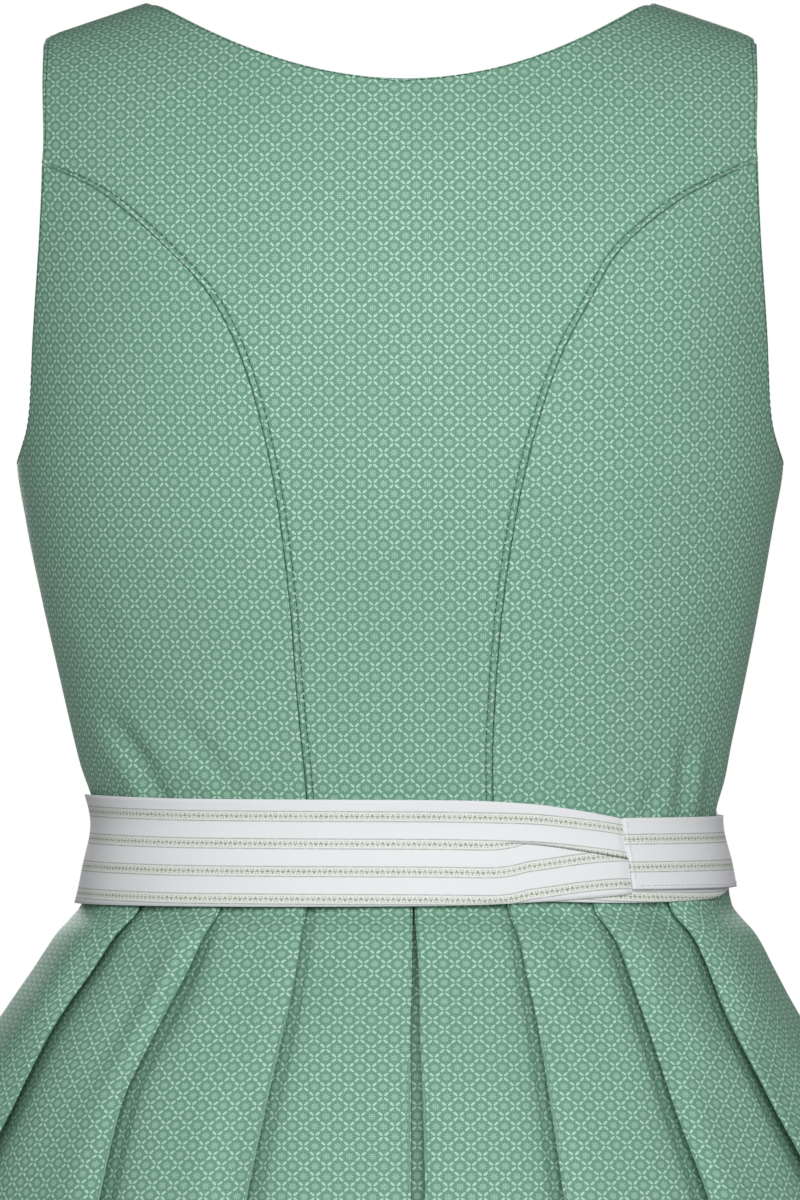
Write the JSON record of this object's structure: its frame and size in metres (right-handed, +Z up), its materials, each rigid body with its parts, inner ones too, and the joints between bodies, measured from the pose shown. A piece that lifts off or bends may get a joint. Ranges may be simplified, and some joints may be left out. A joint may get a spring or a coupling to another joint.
{
  "type": "dirndl dress",
  "caption": "Sleeveless cotton dirndl with princess seams, knife-pleated skirt and a tied striped apron, filled out as worn.",
  "frame": {"origin": "midway between the two shoulders, level with their ridge, where the wearer carries the dress", "axes": "+Z up the dress from the hem to the shoulders, -Y towards the front with its buttons, +X towards the wearer's left"},
  "size_m": [0.598, 0.5065, 1.0529],
  "materials": {
    "printed_green_cotton": "matt",
    "striped_white_cotton": "matt",
    "covered_button": "satin"
  },
  "bodies": {
    "root": {"back_centre": "printed_green_cotton", "side_back_left": "printed_green_cotton", "side_back_right": "printed_green_cotton", "side_front_left": "printed_green_cotton", "side_front_right": "printed_green_cotton", "front_left": "printed_green_cotton", "front_right": "printed_green_cotton", "button_1": "covered_button", "button_2": "covered_button", "button_3": "covered_button", "button_4": "covered_button", "button_5": "covered_button", "button_6": "covered_button", "button_7": "covered_button", "skirt_back": "printed_green_cotton", "skirt_front": "printed_green_cotton", "apron_waistband": "striped_white_cotton", "tie_over": "striped_white_cotton", "tie_under": "striped_white_cotton", "apron_skirt": "striped_white_cotton", "bow_knot": "striped_white_cotton", "bow_loop_left": "striped_white_cotton", "bow_loop_right": "striped_white_cotton", "bow_tail_left": "striped_white_cotton", "bow_tail_right": "striped_white_cotton"}
  },
  "joints": []
}
